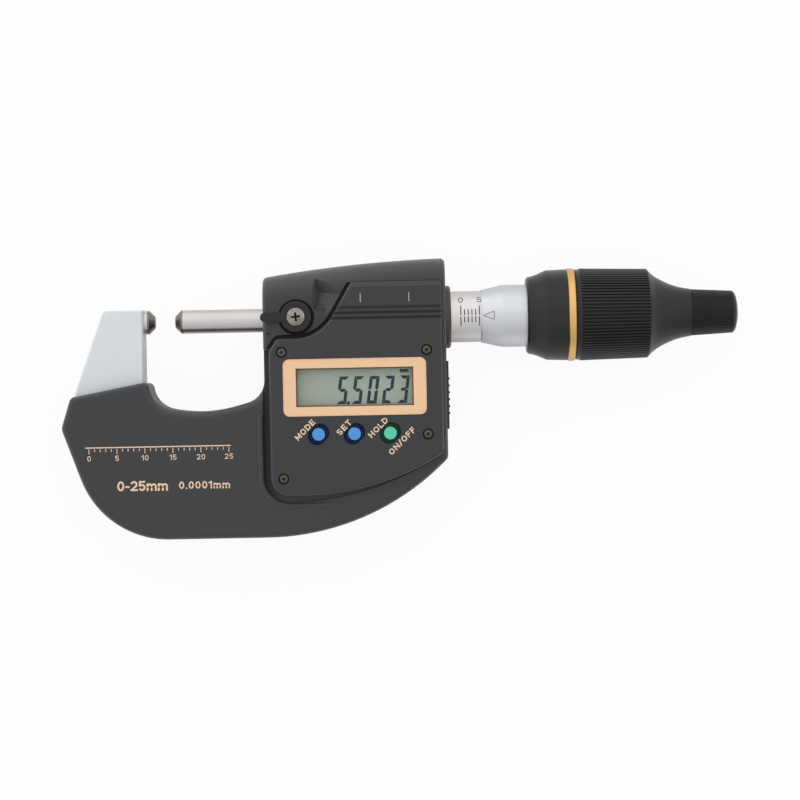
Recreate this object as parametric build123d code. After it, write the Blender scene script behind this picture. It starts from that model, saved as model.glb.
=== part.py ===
from build123d import *
from math import cos, pi, sin
import os

# Digital outside micrometer, lying on its back. Millimetres.
# The origin is the centre of the anvil's measuring face, on the spindle axis.
# X runs along the spindle to the knob, Y is up in the display's reading direction,
# and Z comes out of the display.

# Measuring faces and spindle
reading = 5.5023
measuringRange = 25.0
spindleDia = 6.35
faceDia = 3.2
tipLand = 0.5
screwDia = 8.0
screwNeckDia = 7.2
screwLeadIn = 0.8
keywayWidth = 1.0
keywayDepth = 0.55
runningGap = 0.05

# Frame casting
frameThick = 9.0
armTop = 3.25
armTopLeft = -13.7
armFace = -3.0
armFoot = -24.5
armFootLeft = -23.2
armKneeX = -21.9
armKneeY = -19.5
armCorner = 1.5
armBevel = 0.4
bossDia = 15.6
anvilLength = 9.0
bushDia = 9.6
bushEnd = 45.5
channelDia = 8.8
electronicsRoom = 20.5
roomTop = -5.0
roomBottom = -55.0

# Covers
gripDepth = 9.0
hoodFront = 10.0
backDepth = 13.0
coverWall = 2.0
coverGap = 0.25
coverFillet = 1.4
throatFillet = 2.2
housingLeft = 29.6
housingLength = 49.1
hoodTopLeft = 11.4
hoodTopMiddle = 14.5
hoodTopRight = 15.8
hoodRound = 7.0
hoodEdge = 1.2
hoodFoot = -8.0
coverLeft = -25.1
coverBottom = -58.6
coverKneeX = -22.5
coverKneeY = -20.0
throatLeft = -1.6
throatTop = -16.1
throatBottom = -24.2
throatHeel = 7.0
throatBow = 38.0
throatCorner = 6.0
bottomBow = 68.0
heelBow = 25.0
blockInset = 1.5
blockTop = 9.0
blockBottom = -49.0
coverScrewDia = 1.7
coverScrewHead = 3.6
coverScrewEnd = 6.4

# Display panel, in front of the cover
panelFront = 12.4
panelFloor = 8.2
panelLeftInset = 1.6
panelRightInset = 1.1
panelTop = 9.5
panelBottom = -47.4
panelSkin = 1.8
panelCorner = 5.0
panelEdge = 0.8
panelBevel = 1.3
panelBevelTilt = 28
panelGap = 0.2
panelScrewDia = 1.6
panelScrewHead = 2.3
trenchWidth = 2.0
trenchFloor = 7.6
trenchTaper = 3.2
bendTrench = 1.05
bendFloor = 9.0
ridgeWidth = 1.5
ridgeLap = 0.1
ridgeHeight = 0.55
ridgeRound = 0.6
ridgeReach = 21.0
ridgeFade = 3.5
grooveWidth = 0.7
grooveDepth = 0.35
groovePitch = 1.4
grooveTop = 2.6
windowInset = 22.8
windowY = -18.55
windowLength = 31.4
windowHeight = 10.3
bezelLength = 38.3
bezelHeight = 15.3
bezelCorner = 1.7
bezelDepth = 0.9
bezelThick = 0.7
bezelGap = 0.06
lensThick = 0.8
lensMargin = 1.2
lcdThick = 2.0
lcdGap = 0.15

# Buttons
buttonY = -31.05
buttonPitch = 9.58
buttonShift = -0.29
buttonDia = 4.1
buttonTopDia = 3.6
buttonFlange = 5.2
flangeThick = 1.2
buttonRecessLong = 6.1
buttonRecessWide = 4.9
buttonRecessDepth = 1.3
buttonLow = 0.15
buttonTravel = 0.6
buttonGap = 0.1

# Board and battery
boardThick = 1.2
boardLength = 33.4
boardTop = -10.2
boardBottom = -37.4
boardGap = 0.4
batteryDia = 20.0
batteryThick = 3.2
batteryY = -30.0
capDia = 24.0
capThick = 1.6
capGap = 0.2
coinSlotWidth = 1.6
coinSlotLength = 16.0
coinSlotDepth = 0.8
contactThick = 0.9

# Data output in the right-hand side
portTop = -11.9
portBottom = -30.4
portLow = 0.8
portHigh = 8.0
portDepth = 2.6
portProud = 0.5
portGap = 0.12
portRibs = 6
portRibPitch = 1.85

# Spindle clamp
clampInset = 9.0
clampY = 0.4
hubDia = 8.4
hubThick = 3.0
hubRecess = 0.8
hubGap = 0.6
leverWide = 2.5
leverThick = 1.9
leverReach = 8.3
studDia = 3.6
shoeThick = 1.8
clampBoreDia = 2.5
clampHeadDia = 5.0
clampHeadThick = 1.2
pocketLeft = 4.4
pocketDeepX = 4.9
pocketDeepY = 6.8
pocketDepth = 3.2
pocketFloorTilt = 18
pocketWallTilt = 25
pocketWallRise = 22
pocketSideTilt = 60

# Sleeve, nut and encoder, as places along X
collarDia = 17.0
collarThick = 1.45
sleeveDia = 13.8
sleeveBore = 10.8
sleeveSeat = 2.7
sleeveEnd = 118.0
nutLength = 20.0
scaleZero = 82.8
encoderGap = 0.4
rotorThick = 4.4
rotorDia = 13.0
statorThick = 2.8

# Thimble
indexFrontDia = 14.3
indexDia = 16.8
indexCone = 5.8
indexLength = 22.0
indexFlange = 19.0
flangePlace = 6.6
flangeWidth = 1.5
slideGap = 0.08
keyPlace = 6.7
keyLength = 6.0
keyWidth = 1.6
keyPinLength = 1.6
keyPinWidth = 1.04
grooveRoom = 0.08
skirtFront = 12.4
skirtLipDia = 20.9
skirtNeckDia = 24.3
skirtDia = 24.7
skirtCurve = 5.4
skirtLength = 11.0
skirtBore = 19.4
tenonDia = 21.2
tenonLength = 4.4
retainerWidth = 1.2
ringWidth = 1.9
ringDia = 25.1
gripDia = 25.0
gripRearDia = 24.1
gripLand = 1.5
knurlLength = 18.2
gripBevel = 0.9
coneLength = 10.95
coneEndDia = 12.9
gripTeeth = 84
gripToothDepth = 0.44
gripLandDrop = 0.25
knurlOver = 0.05
gripBore = 19.8
webClearance = 4.0
webThick = 10.1

# Slipping drive and knob
ratchetDiscThick = 1.6
ratchetTeeth = 12
ratchetToothHeight = 0.4
ratchetBore = 9.2
shaftDia = 3.1
shaftSeat = 2.9
shaftReach = 6.35
springDia = 6.4
springWire = 0.5
knobGap = 0.12
knobLength = 12.8
knobDia = 12.6
knobEndDia = 11.4
knobDome = 1.4
knobTeeth = 66
knobToothDepth = 0.24

# Values that follow from those above
axisRadius = spindleDia / 2
tipCone = (spindleDia - faceDia) / 2
closeTravel = reading
openTravel = measuringRange - reading
housingRight = housingLeft + housingLength
bossStart = housingLeft + coverWall + coverGap
coverInner = gripDepth - coverWall
casingClear = frameThick / 2 + coverGap
blockLeft = housingLeft + blockInset
panelLeft = housingLeft + panelLeftInset
panelRight = housingRight - panelRightInset
windowX = panelLeft + windowInset
boardLeft = windowX - boardLength / 2
boardRight = windowX + boardLength / 2
boardFront = panelFront - panelSkin - lensThick - lcdGap - lcdThick
buttonSeat = panelFront - panelSkin - flangeThick
batteryX = windowX
batteryStart = -backDepth + capThick
clampX = housingLeft + clampInset
panelNotch = clampY - hubDia / 2 - hubGap - 0.95
hubBottom = hoodFront - hubRecess + runningGap
sleeveStart = housingRight - sleeveSeat
rotorEnd = sleeveStart - encoderGap
rotorStart = rotorEnd - rotorThick
statorEnd = rotorStart - encoderGap
statorStart = statorEnd - statorThick
indexFront = scaleZero + reading
keyStart = indexFront + keyPlace
keyPinStart = keyStart + 0.6
skirtStart = indexFront + skirtFront
skirtEnd = skirtStart + skirtLength
flangeStart = skirtStart + flangePlace
ringEnd = skirtEnd + ringWidth
gripFaceEnd = ringEnd + gripLand + knurlLength + gripBevel
gripEnd = gripFaceEnd + coneLength
webStart = sleeveEnd + closeTravel + webClearance
webEnd = webStart + webThick
discEnd = webEnd + ratchetDiscThick
knobStart = gripEnd + knobGap


def turned(*corners):
    """A solid turned about the spindle axis, from corners given as (x, radius)."""
    return revolve(make_face(Polyline(*corners, close=True)), Axis.X)


def disc(x, start, end, radius, y=0.0):
    """An upright cylinder between two heights."""
    upright = (Align.CENTER, Align.CENTER, Align.MIN)
    return Pos(x, y, start) * Cylinder(radius, end - start, align=upright)


def block(x0, x1, y0, y1, z0, z1):
    """A box given by its two corners."""
    return Pos(x0, y0, z0) * Box(x1 - x0, y1 - y0, z1 - z0, align=(Align.MIN, Align.MIN, Align.MIN))


def lift(face, start, end):
    """A flat face raised between two heights."""
    return Pos(0, 0, start) * extrude(face, end - start)


def along(x0, x1, radius):
    """A cylinder on the spindle axis."""
    return turned((x0, 0), (x1, 0), (x1, radius), (x0, radius))


def tube(x0, x1, bore, radius):
    """A ring on the spindle axis."""
    return turned((x0, bore), (x1, bore), (x1, radius), (x0, radius))


def topEdges(shape):
    return shape.edges().group_by(Axis.Z)[-1]


def corner(shape, x, y):
    """The vertex of a face that lies nearest to a point."""
    return shape.vertices().sort_by_distance(Vector(x, y, 0))[0]


def rounded(*corners):
    """A flat face with straight sides, from corners given as (x, y, rounding)."""
    face = make_face(Polyline(*[(x, y) for x, y, _ in corners], close=True))
    for x, y, rounding in corners:
        if rounding:
            face = fillet(corner(face, x, y), rounding)
    return face


# Outlines seen from the front

def coverFace():
    """Outline of the black covers up to the spindle axis, throat included."""
    return rounded(
        (throatLeft, throatTop, 0),
        (throatLeft + 1.3, throatBottom + 1.5, throatHeel),
        (throatLeft + 15.9, throatBottom - 1.05, throatBow),
        (housingLeft, throatBottom + 3.3, throatCorner),
        (housingLeft, 4, 0),
        (housingRight, 4, 0),
        (housingRight, coverBottom + 20.5, 2.0),
        (housingRight - 21.3, coverBottom, bottomBow),
        (coverLeft + 11.1, coverBottom, heelBow),
        (coverLeft, coverKneeY - 8.4, 3.0),
        (coverKneeX, coverKneeY, 1.6),
    )


def armOutline():
    """The arm that stands out of the covers at the anvil end."""
    return rounded(
        (armTopLeft, armTop, armCorner),
        (armFace, armTop, 0),
        (armFace, armFoot, 0),
        (armFootLeft, armFoot, 0),
        (armKneeX, armKneeY, 0),
    )


def bowOutline():
    """The part of the casting that runs inside the covers, clear of the electronics."""
    bow = offset(coverFace(), -(coverWall + coverGap))
    room = Rectangle(2 * electronicsRoom, roomTop - roomBottom)
    return bow - Pos(housingRight, (roomTop + roomBottom) / 2) * room


def panelFace():
    """Outline of the display panel, with the S-curve that makes room for the clamp."""
    return rounded(
        (panelLeft, panelNotch - 3.25, 1.5),
        (panelLeft + 2.2, panelNotch, 1.2),
        (panelLeft + 13.7, panelNotch, 12),
        (panelLeft + 22.3, panelTop, 2.5),
        (panelRight, panelTop, 1.0),
        (panelRight, panelBottom + 10.8, 2.5),
        (panelRight - 19.1, panelBottom, 72),
        (panelLeft, panelBottom, panelCorner),
    )


def trenchOutline():
    """Trench down the left side of the panel, narrowing along its lower edge."""
    x = panelLeft + panelCorner
    y = panelBottom + panelCorner
    wide = offset(panelFace(), trenchWidth)
    narrowing = Pos(x, y) * Rot(0, 0, trenchTaper) * Pos(-x, -y) * wide
    top = panelNotch - 3
    side = make_face(Polyline((x, y), (x - 10, y - 10), (x - 10, top), (x, top), close=True))
    low = make_face(Polyline((x, y), (x - 10, y - 10), (x + 40, y - 10), (x + 40, y + 10), close=True))
    return (wide & side) + (narrowing & low)


def ridgeOutline():
    """Bead that runs down beside the trench and straight on under the panel."""
    away = trenchWidth - ridgeLap
    left = panelLeft - away
    right = panelLeft + ridgeReach
    top = throatBottom - 1.2
    bottom = panelBottom - away
    inside = rounded(
        (left, 0, 0), (left, bottom, panelCorner + away), (right + 9, bottom, 0), (right + 9, 0, 0)
    )
    width = right - left + ridgeWidth
    height = top - bottom + ridgeWidth
    area = Pos(right - width / 2, top - height / 2) * Rectangle(width, height)
    return (offset(inside, ridgeWidth) - inside) & area


# Moulded covers

def hoodSection(x, top, depth, roundness):
    """Half of the hood's cross-section at one place along the spindle."""
    with BuildSketch(Plane.YZ.offset(x)) as sketch:
        with BuildLine():
            Line((hoodFoot, 0), (top, 0))
            Line((top, 0), (top, depth - roundness))
            RadiusArc((top, depth - roundness), (top - roundness, depth), -roundness)
            Line((top - roundness, depth), (hoodFoot, depth))
            Line((hoodFoot, depth), (hoodFoot, 0))
        make_face()
    return sketch.sketch


def hood(depth, inset=0.0):
    """The rounded housing over the spindle, or its hollow when an inset is given."""
    left = housingLeft + inset
    right = housingRight - inset
    tops = (hoodTopLeft, hoodTopMiddle, hoodTopRight)
    places = (left, (left + right) / 2, right)
    sections = [
        hoodSection(x, top - inset, depth - inset, hoodRound - inset)
        for x, top in zip(places, tops)
    ]
    return loft(sections)


def roundedHood(depth):
    """The hood with the edges of its two ends rounded."""
    shape = hood(depth)
    ends = shape.edges().filter_by_position(Axis.X, housingLeft - 0.01, housingLeft + 0.01)
    ends += shape.edges().filter_by_position(Axis.X, housingRight - 0.01, housingRight + 0.01)
    outer = [e for e in ends if e.center().Z > 0.5 and e.center().Y > hoodFoot + 0.5]
    return fillet(outer, hoodEdge)


def plate(depth):
    """The flat part of a cover, its front rim rounded except where the arm comes out."""
    shape = lift(coverFace(), 0, depth)
    mouth = Vector((coverKneeX + throatLeft) / 2, (coverKneeY + throatTop) / 2, depth)
    rim = [e for e in topEdges(shape) if e.center().Y < 3 and (e.center() - mouth).length > 1.5]
    throat = [e for e in rim if e.center().X < housingLeft + 1 and e.center().Y > throatBottom - 3]
    throat = [e for e in throat if e.center().X > throatLeft - 1]
    shape = fillet(throat, throatFillet)
    outer = [e for e in rim if e not in throat]
    return fillet([nearest(shape, e) for e in outer], coverFillet)


def nearest(shape, edge):
    """The edge of a shape that lies where another edge was before the shape changed."""
    return shape.edges().sort_by_distance(edge.center())[0]


def coverHollow(depth, hoodDepth):
    """What both covers enclose on one side of the parting plane."""
    low = lift(offset(coverFace(), -coverWall), 0, depth - coverWall)
    return low + hood(hoodDepth, coverWall)


def armOpening():
    """Room for the arm where it comes out of the covers."""
    face = make_face(
        Polyline(
            (armKneeX - coverGap, throatTop + 4),
            (armFace + coverGap / 3, throatTop + 4),
            (armFace + coverGap / 3, armFoot),
            (armFootLeft, armFoot),
            (armKneeX - coverGap, armKneeY),
            close=True,
        )
    )
    return lift(face, -casingClear, casingClear)


def axisOpenings():
    """Bores for the spindle and for the frame's boss, shared by both covers."""
    front = along(housingLeft - 5, bossStart, axisRadius + 0.4)
    return front + along(housingRight - 10, housingRight + 5, bossDia / 2 + coverGap)


def frontCover():
    shape = plate(gripDepth) + roundedHood(hoodFront)
    shape += ridge()
    shape -= coverHollow(gripDepth, hoodFront)
    shape += pocketBacking()
    for x, y in panelScrewPlaces():
        shape += disc(x, casingClear, panelFloor, 2.2, y)
    for x, y in coverScrewPlaces():
        shape += disc(x, screwPostStart(x), coverInner + 0.5, 2.4, y)
    shape -= armOpening()
    shape -= axisOpenings()
    shape -= panelRecess()
    shape -= clampRecess()
    shape -= portOpening()
    for x, y in panelScrewPlaces():
        shape -= disc(x, 0, panelFloor + 1, panelScrewDia / 2 + 0.1, y)
    for x, y in coverScrewPlaces():
        shape -= disc(x, -1, coverScrewEnd + 0.3, coverScrewDia / 2 + runningGap, y)
    return shape - disc(housingLeft + 1.5, hoodFront - 1.2, hoodFront + 1, 0.35, clampY - 4.35)


def ridge():
    """The raised bead, which sinks into the cover towards its right end."""
    shape = lift(ridgeOutline(), coverInner, gripDepth + ridgeHeight)
    shape = fillet(topEdges(shape), ridgeRound)
    return shape - above(panelLeft + ridgeReach, panelBottom, gripDepth - 0.1, 0, ridgeFade)


def panelRecess():
    """Seat of the display panel, the trenches beside its rim, and the window behind it."""
    seat = offset(panelFace(), panelGap)
    width = 22 + trenchWidth
    height = panelTop - panelNotch + 3
    bend = Pos(panelLeft + 22 - width / 2, panelTop - height / 2) * Rectangle(width, height)
    shape = lift(seat, panelFloor, panelFront)
    shape += lift(trenchOutline(), trenchFloor, panelFront)
    shape += lift(offset(panelFace(), bendTrench) & bend, bendFloor, panelFront)
    return shape + boardRoom(boardGap + 0.2, 0, panelFront)


def above(x, y, z, turnX, turnY):
    """Everything on the outer side of a sloping plane through a point."""
    slab = Box(80, 80, 30, align=(Align.CENTER, Align.CENTER, Align.MIN))
    return Pos(x, y, z) * Rot(turnX, turnY, 0) * slab


def boardRoom(margin, low, high):
    """A box around the circuit board."""
    return block(
        boardLeft - margin, boardRight + margin, boardBottom - margin, boardTop + margin, low, high
    )


def pocket():
    """Hollow beside the clamp: a floor, a steeper upper wall and a soft left side."""
    left = clampX + pocketLeft
    x = clampX + pocketDeepX
    y = clampY + pocketDeepY
    outline = make_face(
        Polyline(
            (left - 1, clampY + 11.5), (left + 8, clampY + 7), (left + 15, clampY),
            (left + 4, clampY + 0.6), (left - 1, clampY + 2.6), close=True,
        )
    )
    shape = lift(outline, 0, hoodFront + 5)
    shape = shape & above(x, y, hoodFront - pocketDepth, -pocketFloorTilt, -pocketFloorTilt)
    shape = shape & above(x, y, hoodFront - pocketDepth, pocketWallTilt, -pocketWallRise)
    return shape & above(left, y, hoodFront, 0, pocketSideTilt)


def pocketBacking():
    """Thicker wall behind the pocket, clear of the frame's boss."""
    area = block(clampX + 3, clampX + 18, clampY - 5, clampY + 12, casingClear, hoodFront)
    return (area & hood(hoodFront)) - along(clampX, clampX + 20, bossDia / 2 + coverGap)


def clampRecess():
    """Round seat of the clamp's hub, its stud's hole and the pocket beside them."""
    shape = disc(clampX, hoodFront - hubRecess, hoodFront + 5, hubDia / 2 + hubGap, clampY)
    shape += disc(clampX, 0, hoodFront + 5, studDia / 2 + 0.2, clampY)
    pit = rounded(
        (clampX + 5.2, clampY + 3.6, 0.3), (clampX + 7.4, clampY + 3.3, 0.3),
        (clampX + 8.0, clampY + 1.3, 0.3), (clampX + 5.6, clampY + 1.8, 0.3),
    )
    return shape + pocket() + lift(pit, hoodFront - 1.6, hoodFront + 1)


def portOpening(gap=0.0, proud=1.0):
    """Room of the data output in the right-hand side, or its cover when a gap is given."""
    return block(
        housingRight - portDepth, housingRight + proud,
        portBottom + gap, portTop - gap, portLow + gap, portHigh - gap,
    )


def panelScrewPlaces():
    left = panelLeft + 3.4
    right = panelRight - 4.25
    top = boardTop + 1.2
    return [(left, top), (right, top), (left, panelBottom + 4.6), (right, panelBottom + 15.9)]


def coverScrewPlaces():
    low = blockBottom + 4.5
    return [
        (coverLeft + 9.1, coverKneeY - 9), (coverLeft + 16.6, coverBottom + 11.6),
        (throatLeft + 13.6, coverBottom + 6.6), (throatLeft + 13.6, throatBottom - 5.3),
        (windowX - 13, low), (windowX + 12, low + 1.5),
    ]


def screwPostStart(x):
    """Height at which a cover's screw post begins: at the casting, or at the parting plane."""
    return 0 if x > housingRight - electronicsRoom else casingClear


def backBlockFace(inset):
    """Outline of the deeper part of the back, behind the display."""
    width = housingLength - blockInset
    height = blockTop - blockBottom
    area = Rectangle(width - 2 * inset, height - 2 * inset)
    outline = offset(coverFace(), -inset) if inset else coverFace()
    return outline & (Pos(blockLeft + width / 2, (blockTop + blockBottom) / 2) * area)


def backBlock():
    shape = lift(backBlockFace(0), 0, backDepth)
    rim = [e for e in topEdges(shape) if e.center().Y < 3]
    return fillet(rim, coverFillet)


def backCover():
    """Built face up, then mirrored to its side of the parting plane."""
    inner = coverHollow(gripDepth, backDepth)
    inner += lift(backBlockFace(coverWall), 0, backDepth - coverWall)
    shape = plate(gripDepth) + backBlock() + roundedHood(backDepth) - inner
    seat = backDepth - capThick
    well = seat - batteryThick - contactThick
    shape += disc(batteryX, well - 1.5, backDepth - 0.5, capDia / 2 + 1.6, batteryY)
    for x, y in coverScrewPlaces():
        shape += disc(x, screwPostStart(x), coverFloor(x) - 0.5, 2.6, y)
    for x, y in coverScrewPlaces():
        shape -= disc(x, -1, backDepth + 1, coverScrewDia / 2 + 0.3, y)
        shape -= disc(x, coverFloor(x) - 1.6, backDepth + 1, coverScrewHead / 2 + 0.2, y)
    shape -= disc(batteryX, seat, backDepth + 1, capDia / 2 + capGap, batteryY)
    shape -= disc(batteryX, well, backDepth, batteryDia / 2 + 0.3, batteryY)
    shape -= armOpening()
    shape -= axisOpenings()
    return mirror(shape, Plane.XY)


def coverFloor(x):
    """Depth of the back cover's outer face at a place along the spindle."""
    return backDepth if x > blockLeft else gripDepth


# Frame and what is fixed in it

def arm():
    """Arm of the casting, its outer edges bevelled."""
    half = frameThick / 2
    shape = lift(armOutline(), -half, half)
    edges = shape.edges().group_by(Axis.Z)
    outer = [e for e in edges[0] + edges[-1] if e.center().Y > armFoot + 1]
    return chamfer(outer, armBevel)


def frame():
    half = frameThick / 2
    shape = arm() + lift(bowOutline(), -half, half)
    shape += along(bossStart, housingRight, bossDia / 2)
    shape -= along(-anvilLength, armFace + 1, axisRadius)
    shape -= along(bossStart - 1, bushEnd, bushDia / 2)
    shape -= along(bushEnd - 1, statorStart + 1, channelDia / 2)
    shape -= along(statorStart, housingRight + 1, sleeveDia / 2)
    shape -= disc(clampX, 0, bossDia / 2 + 1, studDia / 2 + runningGap, clampY)
    for x, y in coverScrewPlaces():
        shape -= disc(x, -half - 1, half + 1, coverScrewDia / 2 + 0.15, y)
    return shape


def anvil():
    return along(-anvilLength, -tipCone - tipLand, axisRadius)


def carbideTip(face, direction):
    """Cone-edged tip whose measuring face is at the given place."""
    base = face - direction * (tipCone + tipLand)
    edge = face - direction * tipCone
    return turned((base, 0), (face, 0), (face, faceDia / 2), (edge, axisRadius), (base, axisRadius))


def guideBush():
    shape = tube(bossStart, bushEnd, axisRadius + 0.02, bushDia / 2)
    return shape - disc(clampX, 0, bossDia, studDia / 2 + runningGap, clampY)


def clampShoe():
    shape = disc(clampX, 1, axisRadius + shoeThick, studDia / 2 - runningGap, clampY)
    return shape - along(clampX - 5, clampX + 5, axisRadius + 0.02)


def collar():
    end = housingRight + collarThick
    radius = collarDia / 2
    bore = sleeveDia / 2
    edge = 0.5
    return turned(
        (housingRight, bore),
        (end, bore),
        (end, radius - edge),
        (end - edge, radius),
        (housingRight, radius),
    )


def sleeve():
    edge = 0.3
    radius = sleeveDia / 2
    shape = turned(
        (sleeveStart, sleeveBore / 2),
        (sleeveEnd, sleeveBore / 2),
        (sleeveEnd, radius - edge),
        (sleeveEnd - edge, radius),
        (sleeveStart, radius),
    )
    half = keyPinWidth / 2 + grooveRoom
    grooveStart = keyPinStart - closeTravel - 0.5
    return shape - block(grooveStart, sleeveEnd + 1, -half, half, -sleeveDia, -grooveFloor())


def grooveFloor():
    """Radius of the bottom of the sleeve's groove."""
    return (sleeveDia + sleeveBore) / 4 + 0.05


def leadNut():
    return tube(sleeveEnd - nutLength, sleeveEnd, screwDia / 2 + runningGap, sleeveBore / 2)


def encoderStator():
    return tube(statorStart, statorEnd, channelDia / 2, sleeveDia / 2)


def encoderRotor():
    bore = axisRadius + runningGap
    hub = rotorDia / 2 - 1.5
    shape = turned(
        (rotorStart, bore),
        (rotorEnd, bore),
        (rotorEnd, hub),
        (rotorEnd - 2, rotorDia / 2),
        (rotorStart, rotorDia / 2),
    )
    half = keywayWidth / 2 - runningGap
    foot = axisRadius - keywayDepth + runningGap
    return shape + block(rotorStart, rotorEnd, -half, half, foot, bore + 0.5)


# Display

def displayPanel():
    shape = lift(panelFace(), panelFloor, panelFront)
    shape = fillet(topEdges(shape), panelEdge)
    shape -= Pos(windowX, panelTop - panelBevel, panelFront) * Rot(-panelBevelTilt, 0, 0) * panelBevelCut()
    shape -= boardRoom(boardGap, panelFloor - 1, panelFront - panelSkin)
    for x in (boardLeft + 2, boardRight - 2):
        shape += disc(x, boardFront, panelFront - panelSkin, 1.3, boardBottom + 2)
    shape -= atWindow(Rectangle(windowLength, windowHeight), panelFront - 3, 4)
    shape -= atWindow(bezelFace(bezelGap), panelFront - bezelDepth, 2)
    half = grooveWidth / 2
    for i in range(3):
        y = grooveTop - i * groovePitch
        floor = panelFront - (grooveDepth if i else grooveDepth / 2)
        shape -= block(clampX, housingRight, y - half, y + half, floor, panelFront + 1)
    for x in buttonPlaces():
        recess = extrude(SlotOverall(buttonRecessLong, buttonRecessWide), 2)
        shape -= Pos(x, buttonY, panelFront - buttonRecessDepth) * Rot(0, 0, 45) * recess
        shape -= disc(x, panelFront - 3, panelFront + 1, buttonDia / 2 + buttonGap, buttonY)
    for x, y in panelScrewPlaces():
        shape -= disc(x, panelFront - 0.9, panelFront + 1, panelScrewHead / 2 + 0.35, y)
        shape -= disc(x, panelFloor - 1, panelFront + 1, panelScrewDia / 2 + 0.15, y)
    return shape


def panelBevelCut():
    return Box(housingLength, 5, 3, align=(Align.CENTER, Align.MIN, Align.MIN))


def atWindow(face, start, height):
    """A flat face centred on the window and raised from a height."""
    return Pos(windowX, windowY, start) * extrude(face, height)


def bezelFace(gap=0.0):
    face = Rectangle(bezelLength + 2 * gap, bezelHeight + 2 * gap)
    return fillet(face.vertices(), bezelCorner + gap)


def windowBezel():
    start = panelFront - bezelDepth
    shape = atWindow(bezelFace(), start, bezelThick)
    return shape - atWindow(Rectangle(windowLength, windowHeight), start - 1, 4)


def windowLens():
    face = Rectangle(windowLength + 2 * lensMargin, windowHeight + 2 * lensMargin)
    return atWindow(face, panelFront - panelSkin - lensThick, lensThick)


def lcdCell():
    return atWindow(Rectangle(windowLength + 2, windowHeight + 3), boardFront, lcdThick)


def circuitBoard():
    return boardRoom(0, boardFront - boardThick, boardFront)


def keySwitches():
    """Three small switches under the buttons, as one group."""
    half = buttonDia / 2
    top = buttonSeat - buttonTravel - buttonGap
    switch = block(-half, half, buttonY - half, buttonY + half, boardFront, top)
    return [Pos(x, 0, 0) * switch for x in buttonPlaces()]


def buttonPlaces():
    return [windowX + buttonShift + i * buttonPitch for i in (-1, 0, 1)]


def button(x):
    """Flanged stem whose flank narrows to the round face above it."""
    neck = panelFront - buttonRecessDepth
    height = panelFront - buttonLow - neck
    flank = Cone(buttonDia / 2, buttonTopDia / 2, height, align=(Align.CENTER, Align.CENTER, Align.MIN))
    flank = fillet(topEdges(flank), 0.2)
    shape = Pos(x, buttonY, neck) * flank + disc(x, buttonSeat, neck, buttonDia / 2, buttonY)
    return shape + disc(x, buttonSeat, buttonSeat + flangeThick, buttonFlange / 2, buttonY)


def crossScrew(x, y, top, headRadius, headHeight, shankRadius, end):
    """A pan-head screw that points down, with a cross recess in its head."""
    head = disc(x, top - headHeight, top, headRadius, y)
    head = chamfer(topEdges(head), headHeight * 0.3, headHeight * 0.6)
    shape = head + disc(x, end, top - headHeight, shankRadius, y)
    length = headRadius * 1.15
    slot = Box(length, headRadius * 0.26, headHeight, align=(Align.CENTER, Align.CENTER, Align.MIN))
    for turn in (20, 110):
        shape -= Pos(x, y, top - headHeight * 0.6) * Rot(0, 0, turn) * slot
    return shape


def panelScrews():
    head = panelScrewHead / 2
    shank = panelScrewDia / 2
    top = panelFront - 0.25
    end = casingClear + 0.5
    return [crossScrew(x, y, top, head, 0.65, shank, end) for x, y in panelScrewPlaces()]


def coverScrews():
    head = coverScrewHead / 2
    shank = coverScrewDia / 2
    flipped = Rot(180, 0, 0)
    return [
        flipped * crossScrew(x, -y, coverFloor(x) - 0.3, head, 1.3, shank, -coverScrewEnd)
        for x, y in coverScrewPlaces()
    ]


# Back and side

def battery():
    return disc(batteryX, batteryStart, batteryStart + batteryThick, batteryDia / 2, batteryY)


def batteryContacts():
    """Two spring strips behind the cell, as one group."""
    start = batteryStart + batteryThick
    strip = Box(2.4, 12, contactThick, align=(Align.CENTER, Align.CENTER, Align.MIN))
    return [Pos(batteryX + side * batteryDia / 4, batteryY, start) * strip for side in (-1, 1)]


def batteryCap():
    shape = disc(batteryX, -backDepth + 0.1, batteryStart, capDia / 2, batteryY)
    slot = Box(coinSlotLength, coinSlotWidth, 2 * coinSlotDepth)
    return shape - Pos(batteryX, batteryY, -backDepth + 0.1) * slot


def portCover():
    """Plug of the data output, with short ribs that the fingers pull on."""
    shape = portOpening(portGap, portProud)
    right = housingRight + portProud
    outer = shape.edges().filter_by_position(Axis.X, right - 0.01, right + 0.01)
    shape = fillet(outer, 0.3)
    middle = (portTop + portBottom) / 2 - 0.25
    for i in range(portRibs):
        y = middle + (i - (portRibs - 1) / 2) * portRibPitch
        shape += Pos(right - 0.05, y, (portLow + portHigh) / 2) * Cylinder(0.35, portHigh - portLow - 1.8)
    return shape


def dataConnector():
    right = housingRight - portDepth
    middle = (portTop + portBottom) / 2
    shape = block(boardRight + 0.9, right, middle - 5, middle + 5, portLow + 0.4, portHigh - 1)
    return shape - block(boardRight + 3.3, right + 1, middle - 4, middle + 4, portLow + 1.6, portHigh - 2.2)


# Clamp

def clampLever():
    top = hubBottom + hubThick
    hub = disc(clampX, hubBottom, top, hubDia / 2, clampY)
    hub = fillet(topEdges(hub), 0.5)
    arm = extrude(SlotOverall(leverReach + leverWide, leverWide), leverThick)
    shape = hub + Pos(clampX - leverReach / 2, clampY, hoodFront + 0.3) * arm
    return shape - disc(clampX, hubBottom - 1, top + 1, clampBoreDia / 2, clampY)


def clampStud():
    shape = disc(clampX, axisRadius + shoeThick, hubBottom, studDia / 2, clampY)
    return shape - disc(clampX, hubBottom - 2.25, hubBottom + 1, clampBoreDia / 2 - 0.1, clampY)


def clampScrew():
    shank = clampBoreDia / 2 - 0.15
    top = hubBottom + hubThick + clampHeadThick
    return crossScrew(clampX, clampY, top, clampHeadDia / 2, clampHeadThick, shank, hubBottom - 1.95)


# Thimble

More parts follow.
